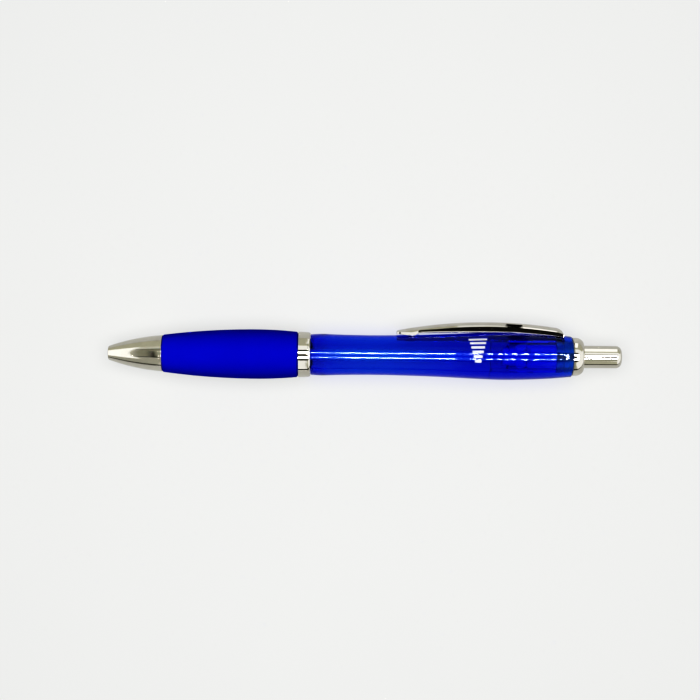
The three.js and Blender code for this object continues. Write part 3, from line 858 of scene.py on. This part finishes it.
def return_spring():
    per_turn, sides = 40, 12
    steps = (ACTIVE_TURNS + 2 * CLOSED_TURNS) * per_turn
    vertices, normals = [], []
    for i in range(steps + 1):
        turn = i / per_turn
        centre = coil_point(turn)
        along = (coil_point(turn + 0.001) - coil_point(turn - 0.001)).normalized()
        outward = Vector((0, cos(TURN * turn), sin(TURN * turn)))
        across = along.cross(outward).normalized()
        for k in range(sides):
            angle = TURN * k / sides
            normal = outward * cos(angle) + across * sin(angle)
            vertices.append(centre + WIRE * normal)
            normals.append(normal)
    faces = [tuple(range(sides)), tuple(steps * sides + k for k in reversed(range(sides)))]
    for i in range(steps):
        for k in range(sides):
            a, b = i * sides + k, i * sides + (k + 1) % sides
            faces.append((b, a, a + sides, b + sides))
    piece = mesh_piece("return_spring_coil", vertices, faces, normals)
    finish_piece(piece, "return_spring", SPRING_STEEL)
    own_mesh(piece)


return_spring()


# ---- clip

# Stations and heights over the axis are in millimetres, and angles in degrees.
clip_low, clip_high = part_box("clip")
CLIP_FRONT, CLIP_REAR = (clip_low.x - FACE_X) / MM, (clip_high.x - FACE_X) / MM
CLIP_TOP = (clip_high.y - AXIS.y) / MM
CLIP_CREST = 103.5  # the station where the back's arc is highest
CLIP_ARC = 128  # the arc's radius
CLIP_HALF = ((clip_high.z - clip_low.z) / 2) / MM
CLIP_TAPER = 0.5  # how much narrower each side is at the front
FRONT_NOSE, REAR_SHOULDER = (0.7, 0.3), (2.1, 1.5)  # rounded ends, from the side: reach, drop
FRONT_CORNER, REAR_CORNER = (2.4, 0.7), (0.3, 0.12)  # and from above
SHEET, EDGE_WIDTH = 0.5, 0.15  # the sheet's thickness, in the back and at its lower edge
LEAST_ROOM = 0.04  # under the back, where the clip ends
DOME, DOME_SHARE = 1.28, 0.55  # how far the back comes down, and the most of the height
FLANGE_TILT, FOOT_TILT = -2.5, 13  # how far the flange turns up from straight out
LIP_WIDTH, LIP_RADIUS = 0.36, 1.7  # the flange's lower edge curls in
LIP_SHARE = 0.35  # the most of the flange
LIP_RISE, LEAST_LIP = 1.5, 0.08
LIP_BEND = -16  # where the curl starts
STEEPEST_CURL = 0.95  # a sine
EDGE_RADIUS = 0.06
FLANGE_ROWS = (0.08, 0.92, 1)
DOME_STEPS, LIP_STEPS, EDGE_STEPS = 14, 5, 4
CLIP_CREASE = 12
FOOT, FOOT_END = CLIP_FRONT + 4.7, CLIP_FRONT + 6.7  # the foot rests on the barrel, then rises
TILT_END, TILT_FADE = FOOT + 1.2, 0.2  # the tip and the foot have the foot's tilt
LIP_START = CLIP_FRONT + 2.2
BASE_START, BASE_GAP = CLIP_FRONT + 32.2, 0.2  # the base sits over the barrel from here
FOOT_HEIGHT, TIP_HEIGHT, EDGE_HEIGHT, EDGE_RISE = 5.2, 5.8, 6.08, 0.2

# The barrel's outside, behind the ring and away from the clip's slot.
SKIN_START, SKIN_LEAST = 56, 5.2
barrel_skin = sorted(
    (
        p for p in outline_of("rear_barrel", angle=pi)[0]
        if p.y > SKIN_LEAST * MM and p.x > station(SKIN_START)
    ),
    key=lambda p: p.x,
)


def skin_radius(s):
    """The barrel's radius at a station, in millimetres."""
    x = station(s)
    for a, b in zip(barrel_skin, barrel_skin[1:]):
        if a.x <= x <= b.x:
            return lerp(a.y, b.y, (x - a.x) / (b.x - a.x)) / MM
    return (barrel_skin[0] if x < barrel_skin[0].x else barrel_skin[-1]).y / MM


def quarter_drop(distance, reach, drop):
    """How far a rounded end has come down at this distance from it."""
    share = clamp(1 - distance / reach)
    return drop * (1 - sqrt(1 - share * share))


def end_drops(s, front, rear):
    return quarter_drop(s - CLIP_FRONT, *front) + quarter_drop(CLIP_REAR - s, *rear)


def clip_crest(s):
    """The height of the clip's spine over the axis."""
    arc = CLIP_TOP - CLIP_ARC + sqrt(CLIP_ARC**2 - (s - CLIP_CREST) ** 2)
    return arc - end_drops(s, FRONT_NOSE, REAR_SHOULDER)


def clip_half(s):
    """Half the clip's width."""
    tapered = CLIP_HALF - CLIP_TAPER * (CLIP_REAR - s) / (CLIP_REAR - CLIP_FRONT)
    return tapered - end_drops(s, FRONT_CORNER, REAR_CORNER)


def free_edge(share):
    """The height of the edge between the foot, share 0, and the base, share 1."""
    return EDGE_HEIGHT + EDGE_RISE * sin(pi * 0.8 * share)


def clip_edge(s, z):
    """The height of the clip's lower edge, where it is z from the middle."""
    if s < FOOT:
        return lerp(FOOT_HEIGHT, TIP_HEIGHT, ease((FOOT - s) / (FOOT - CLIP_FRONT)))
    if s < BASE_START - 0.5:
        rise = ease((s - FOOT) / (FOOT_END - FOOT))
        return lerp(FOOT_HEIGHT, free_edge(clamp((s - FOOT_END) / (BASE_START - FOOT_END))), rise)
    seat = sqrt((skin_radius(s) + BASE_GAP) ** 2 - z * z)
    return lerp(free_edge(1), seat, ease((s - BASE_START + 0.5) / 0.6))


def bend(path, radius, start, end, steps):
    """Goes on with a path round an arc, while the way it faces turns from start to end."""
    first = radians(start)
    z = path[-1][0] - radius * cos(first)
    height = path[-1][1] - radius * sin(first)
    for k in range(1, steps + 1):
        angle = radians(lerp(start, end, k / steps))
        path.append((z + radius * cos(angle), height + radius * sin(angle)))


def domed(top, half, drop):
    """Half of a rounded back, from its spine to the crease where a flange starts."""
    slope = 90 - 2 * degrees(atan(drop / half))
    path = [(0, top)]
    bend(path, half / cos(radians(slope)), 90, slope, DOME_STEPS)
    return path


def lip_width(s, flange):
    """The lip's width where the flange is this wide: least at the clip's ends."""
    from_front = clamp((s - LIP_START) / LIP_RISE)
    from_rear = clamp((CLIP_REAR - s) / (CLIP_REAR - BASE_START))
    return min(LIP_WIDTH, LIP_SHARE * flange) * max(LEAST_LIP, min(from_front, from_rear))


def add_flange(path, s, low):
    """Goes on from the back's crease down the flange, round the lip and in under its edge."""
    z, height = path[-1]
    lip = lip_width(s, height - low)
    slope = tan(radians(lerp(FLANGE_TILT, FOOT_TILT, ease((TILT_END - s) / TILT_FADE))))
    fall = height - (low + lip + EDGE_RADIUS)
    for share in FLANGE_ROWS:
        path.append((z + slope * fall * share, height - fall * share))
    curl = min(STEEPEST_CURL, lip / LIP_RADIUS - sin(radians(LIP_BEND)))
    lip_end = -degrees(asin(curl))
    bend(path, LIP_RADIUS, LIP_BEND, lip_end, LIP_STEPS)
    bend(path, EDGE_RADIUS, lip_end, -90, EDGE_STEPS)


def clip_section(s):
    """The clip's section at a station: (z, height) points round it."""
    top, half = clip_crest(s), clip_half(s)
    low = clip_edge(s, half)
    drop = min(DOME, DOME_SHARE * (top - low))
    outer = domed(top, half, drop)
    add_flange(outer, s, low)
    roof = max(top - SHEET, low + LEAST_ROOM)
    inner = domed(roof, half - SHEET, min(drop, 0.5 * (roof - low)))
    inner.append((outer[-1][0] - EDGE_WIDTH, low + LEAST_ROOM / 2))
    right = outer + inner[::-1]
    left = [(-z, height) for z, height in right[::-1] if z > 1e-6]
    return right + left


def clip_stations():
    """Close together where the clip bends, further apart between."""
    stations, s = [], CLIP_FRONT
    while s < CLIP_REAR - 1e-6:
        stations.append(s)
        near_front = s < FOOT_END + 0.3
        near_rear = s > CLIP_REAR - 2.4
        near_base = abs(s - BASE_START) < 0.7
        s += 0.1 if near_front or near_rear or near_base else 0.4
    return stations + [CLIP_REAR]


def clip_tongue():
    """The strip that drops from the rear wall and hooks forwards under the barrel's wall."""
    rear = CLIP_REAR
    outline = [
        (rear - 4.2, 4.5), (rear - 1, 4.5), (rear - 1, 5.7), (rear - 0.35, 6.0), (rear - 0.9, 6.8),
        (rear - 1.5, 6.4), (rear - 1.5, 4.85), (rear - 4.2, 4.85),
    ]
    half = 1.5 * MM
    vertices = [
        Vector((station(s), AXIS.y + height * MM, AXIS.z + side * half))
        for side in (-1, 1)
        for s, height in outline
    ]
    count = len(outline)
    faces = [tuple(range(count)), tuple(reversed(range(count, 2 * count)))]
    faces += [(i, i + count, (i + 1) % count + count, (i + 1) % count) for i in range(count)]
    tongue = mesh_piece("clip_tongue", vertices, faces)
    outward_faces(tongue)
    return tongue


def outward_faces(piece):
    work = bmesh.new()
    work.from_mesh(piece.data)
    bmesh.ops.recalc_face_normals(work, faces=work.faces)
    work.to_mesh(piece.data)
    work.free()


def clip():
    vertices, faces = [], []
    stations = clip_stations()
    for s in stations:
        for z, height in clip_section(s):
            vertices.append(Vector((station(s), AXIS.y + height * MM, AXIS.z + z * MM)))
    count = len(vertices) // len(stations)
    for i in range(len(stations) - 1):
        for k in range(count):
            a, b = i * count + k, i * count + (k + 1) % count
            faces.append((a, b, b + count, a + count))
    last = (len(stations) - 1) * count
    faces += [tuple(reversed(range(count))), tuple(range(last, last + count))]
    piece = mesh_piece("clip_sheet", vertices, faces)
    outward_faces(piece)
    combine(piece, "UNION", clip_tongue(), crease=CLIP_CREASE)
    finish_piece(piece, "clip", SHEET_CHROME)


clip()


# ---- print on the barrel

PRINT_MIDDLE = 100.5
PRINT_ANGLE = radians(74)  # from +Y towards +Z: the print faces up and a little to the clip
PRINT_LENGTH = 5.0
PRINT_BARS = [(3.2 - 1.28 * k, 1 - 0.13 * k) for k in range(6)]  # offset round, length share
BAR_WIDTH = 0.7
PRINT_LIFT, PRINT_FILM = 0.006, 0.014
PRINT_CREASE = 40


def print_bar(index, offset, share):
    """One plain white bar: a thin film that lies on the barrel."""
    radius = skin_radius(PRINT_MIDDLE)
    steps_long, steps_wide = 24, 6
    vertices, faces = [], []
    for lift in (PRINT_LIFT, PRINT_LIFT + PRINT_FILM):
        for i in range(steps_long + 1):
            s = PRINT_MIDDLE + PRINT_LENGTH * share * (i / steps_long - 0.5)
            for k in range(steps_wide + 1):
                angle = PRINT_ANGLE - (offset + BAR_WIDTH * (k / steps_wide - 0.5)) / radius
                vertices.append(around(station(s), (skin_radius(s) + lift) * MM, angle))
    row = steps_wide + 1
    layer = row * (steps_long + 1)
    for i in range(steps_long):
        for k in range(steps_wide):
            a = i * row + k
            quad = (a, a + 1, a + row + 1, a + row)
            faces += [quad, tuple(v + layer for v in reversed(quad))]
    border = (
        list(range(row))
        + [i * row + steps_wide for i in range(1, steps_long + 1)]
        + [steps_long * row + k for k in reversed(range(steps_wide))]
        + [i * row for i in reversed(range(1, steps_long))]
    )
    for a, b in zip(border, border[1:] + border[:1]):
        faces.append((a, b, b + layer, a + layer))
    bar = mesh_piece(f"print_bar_{index}", vertices, faces)
    outward_faces(bar)
    bar.data.set_sharp_from_angle(angle=radians(PRINT_CREASE))
    bar.data.materials.append(PRINT)
    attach(bar, BODY_OF["rear_barrel"])


for number, (offset, share) in enumerate(PRINT_BARS, start=1):
    print_bar(number, offset, share)


# ---- light box

CEILING = 0.40  # the lamps' height over the pen's axis
BACK, FRONT, FAR = 400, -400, 900  # the box's walls, in millimetres from the frame's middle
FRAME_FRONT, FRAME_REAR = -150, 185  # the lamp frame's ends
RAIL = -236  # the front rail's outer edge
NEAR_BACK, NEAR_FRONT = BACK - 2, FRONT + 1  # what hangs just off the walls
FULL, LOW = (0, 410), (0, 260)  # heights over the floor
LED_ROWS = (70, -114)
LED_PITCH, LED_SIZE = 16.7, (9, 36)


def glow(name, strength, blue=1.0, green=1.0):
    """What a panel shows: white, yellower with less blue."""
    nodes = Nodes(name)
    lamp = nodes.add("ShaderNodeEmission", {"Color": (1, green, blue, 1), "Strength": strength})
    nodes.fill(nodes.output, {"Surface": lamp.outputs["Emission"]})
    nodes.material.cycles.emission_sampling = "NONE"
    return nodes.material


WHITE = glow("box_white", 1.15, 0.97)
BRIGHT = glow("box_bright", 1.5, 0.95, 0.99)
LIGHT = glow("box_light", 0.9, 0.96)
PALE = glow("box_pale", 0.66, 0.93)
GREY = glow("box_grey", 0.46, 0.88)
OLIVE = glow("box_olive", 0.54, 0.84)
DIM = glow("box_dim", 0.34, 0.8)
SHADE = glow("box_shade", 0.03, 0.9)
BLACK = glow("box_black", 0.01)
GLARE = glow("box_glare", 2.4)
LAMP = glow("box_lamp", 85, 0.85, 0.9)

# The ceiling's panels, each under the ones before it: x range, y range, what it shows.
CEILING_PANELS = {
    "ceiling": ((-330, FAR), (FRONT, BACK), WHITE),
    "ceiling_left": ((-FAR, -330), (FRONT, BACK), BRIGHT),
    "band_front": ((-330, -150), (FRONT, -210), GREY),
    "band_back": ((-330, -150), (222, BACK), PALE),
    "band_outer": ((-330, -285), (-210, 222), GREY),
    "band_inner": ((-285, FRAME_FRONT), (-210, 222), DIM),
    "band_mark": ((-213, -181), (-220, 94), SHADE),
    "band_rail": ((-330, FRAME_FRONT), (192, 222), SHADE),
    "band_edge": ((-330, FRAME_FRONT), (-212, -172), SHADE),
    "front_screen_top": ((120, 160), (FRONT, RAIL), OLIVE),
    "front_curtain_top": ((70, 120), (FRONT, RAIL), DIM),
    "front_card_top": ((20, 70), (FRONT, RAIL), LIGHT),
    "stand_arm": ((76, 107), (165, BACK), BLACK),
    "frame": ((FRAME_FRONT, FRAME_REAR), (-200, 165), SHADE),
    "rail_back": ((FRAME_FRONT, FRAME_REAR + 30), (150, 174), BLACK),
    "rail_front": ((FRAME_FRONT, FRAME_REAR + 30), (RAIL, -186), BLACK),
}
LAMP_PANELS = {
    "glare_back": ((FRAME_FRONT, FRAME_REAR), (16, 108), GLARE),
    "glare_front": ((FRAME_FRONT, FRAME_REAR), (-158, -60), GLARE),
    "glare_end": ((FRAME_REAR - 30, FRAME_REAR + 60), (-158, 108), GLARE),
}
# Strips round the walls: from one corner to the next, height range, what it shows.
WALL_PANELS = {
    "back_wall": ((-FAR, BACK), (FAR, BACK), FULL, OLIVE),
    "front_wall": ((FAR, FRONT), (-150, FRONT), FULL, WHITE),
    "front_wall_left": ((-150, FRONT), (-FAR, FRONT), FULL, GREY),
    "front_skirting": ((FAR, FRONT + 2), (-FAR, FRONT + 2), (22, 85), SHADE),
    "left_wall": ((-FAR, FRONT), (-FAR, BACK), FULL, WHITE),
    "right_wall": ((FAR, BACK), (FAR, FRONT), FULL, WHITE),
    "card": ((21, NEAR_BACK), (86, NEAR_BACK), LOW, LIGHT),
    "stand": ((86, NEAR_BACK), (107, NEAR_BACK), FULL, BLACK),
    "card_rear": ((107, NEAR_BACK), (175, NEAR_BACK), LOW, BRIGHT),
    "front_screen": ((160, NEAR_FRONT), (120, NEAR_FRONT), FULL, OLIVE),
    "front_curtain": ((120, NEAR_FRONT), (70, NEAR_FRONT), FULL, DIM),
    "front_card": ((70, NEAR_FRONT), (20, NEAR_FRONT), FULL, PALE),
}
# The foot of the stand comes in across the floor and nearly meets the clip.
STAND_FOOT = [(40, 18, 0.5), (45, 18, 0.5), (107, NEAR_BACK, 0.5), (86, NEAR_BACK, 0.5)]


def hide_from(thing, *rays):
    for ray in rays:
        setattr(thing, "visible_" + ray, False)


def panel(name, corners, material, through=True):
    """A flat part of the light box, which only reflections and the clear plastic see."""
    obj = mesh_piece(name, [Vector(corner) * MM for corner in corners], [(0, 1, 2, 3)])
    obj.data.materials.append(material)
    hide_from(obj, "camera", "diffuse", "shadow")
    obj.visible_transmission = through


def ceiling_panel(name, x_range, y_range, material, drop, through=True):
    (x0, x1), (y0, y1) = x_range, y_range
    z = (AXIS.z + CEILING) / MM - drop
    panel(name, [(x0, y0, z), (x1, y0, z), (x1, y1, z), (x0, y1, z)], material, through)


def light_box():
    for drop, (name, place) in enumerate(CEILING_PANELS.items()):
        ceiling_panel(name, *place, drop / 2)
    below = len(CEILING_PANELS) / 2
    for name, place in LAMP_PANELS.items():
        ceiling_panel(name, *place, below, through=False)
    length, width = LED_SIZE
    for row, y in enumerate(LED_ROWS):
        for i in range(int((FRAME_REAR - FRAME_FRONT) / LED_PITCH)):
            x = FRAME_REAR - LED_PITCH * (i + 0.5)
            x_range, y_range = (x - length / 2, x + length / 2), (y - width / 2, y + width / 2)
            ceiling_panel(f"led_{row}_{i}", x_range, y_range, LAMP, below + 1, through=False)
    middle = (FRAME_REAR, FRAME_REAR + 2 * length)
    ceiling_panel("led_end", middle, (LED_ROWS[1], LED_ROWS[0]), LAMP, below + 1, through=False)
    for name, (start, end, (low, high), material) in WALL_PANELS.items():
        panel(name, [(*start, low), (*end, low), (*end, high), (*start, high)], material)
    panel("stand_foot", STAND_FOOT, BLACK)


light_box()


# ---- floor, lamps, camera

FLOOR_GLOW, FLOOR_GLOW_REFLECTED = 0.54, 0.26
ROOM_GLOW, WALL_GLOW = 0.06, 0.62  # what the room lights the pen with, and how it looks behind it


def floor():
    """A plain pale sheet with a faint mottle, which reflections show darker."""
    nodes = Nodes("pale_floor")
    nodes.set(Roughness=0.9, Specular_IOR_Level=0.0, Emission_Color=(0.98, 0.99, 0.99, 1))
    nodes.tones(nodes.noise(40, detail=3), (0.33, 0.33, 0.32), (0.325, 0.325, 0.315))
    glossy_ray = nodes.add("ShaderNodeLightPath").outputs["Is Glossy Ray"]
    seen = nodes.ranged(glossy_ray, FLOOR_GLOW, FLOOR_GLOW_REFLECTED, 0, 1)
    nodes.set(Emission_Strength=seen)
    nodes.material.cycles.emission_sampling = "NONE"
    size = 3
    corners = [(-size, -size, 0), (size, -size, 0), (size, size, 0), (-size, size, 0)]
    sheet = mesh_piece("floor_sheet", [Vector(c) for c in corners], [(0, 1, 2, 3)])
    sheet.data.materials.append(nodes.material)
    hide_from(sheet, "diffuse")


def key_lamp():
    """The soft lamp overhead, which lights the pen and the floor but shows in nothing."""
    data = bpy.data.lights.new("key", "AREA")
    data.shape = "RECTANGLE"
    data.size = data.size_y = 0.4
    data.energy = 2.2
    data.color = (1, 1, 0.99)
    lamp = placed("key", data)
    lamp.location = (0, 0, AXIS.z + CEILING)
    hide_from(lamp, "glossy", "transmission", "camera")


def studio():
    scene = bpy.context.scene
    world = bpy.data.worlds.new("pale_room")
    scene.world = world
    world.use_nodes = True
    nodes, links = world.node_tree.nodes, world.node_tree.links
    background = nodes["Background"]
    background.inputs["Color"].default_value = (1, 1, 0.985, 1)
    path = nodes.new("ShaderNodeLightPath")
    seen = nodes.new("ShaderNodeMapRange")
    seen.inputs["To Min"].default_value = ROOM_GLOW
    seen.inputs["To Max"].default_value = WALL_GLOW
    links.new(path.outputs["Is Camera Ray"], seen.inputs["Value"])
    links.new(seen.outputs["Result"], background.inputs["Strength"])
    world.cycles_visibility.glossy = False
    key_lamp()
    scene.view_settings.view_transform = "Standard"
    tone_curve(scene.view_settings)


def tone_curve(view):
    """A phone camera's contrast: deep shadows, and bright tones left as they are."""
    view.use_curve_mapping = True
    curve = view.curve_mapping.curves[3]  # red, green and blue together
    for tone, shown in ((0.05, 0.012), (0.25, 0.165), (0.55, 0.55)):
        curve.points.new(tone, shown)
    view.curve_mapping.extend = "EXTRAPOLATED"
    view.curve_mapping.update()


def camera():
    """Straight over the pen, which lies a little turned in the picture."""
    lens, sensor = 85, 36
    picture_width = 0.1912  # at the height of the axis
    aside, up = -4.05 * MM, 0.075 * MM  # the picture's middle, from the middle of the box
    data = bpy.data.cameras.new("camera")
    data.lens, data.sensor_width = lens, sensor
    eye = placed("camera", data)
    middle = (cad_box[0].x + cad_box[1].x) / 2 + aside
    eye.location = (middle, up, AXIS.z + picture_width * lens / sensor)
    eye.rotation_euler = (0, 0, radians(0.5))
    data.clip_start, data.clip_end = 0.01, 20
    bpy.context.scene.camera = eye


floor()
studio()
camera()
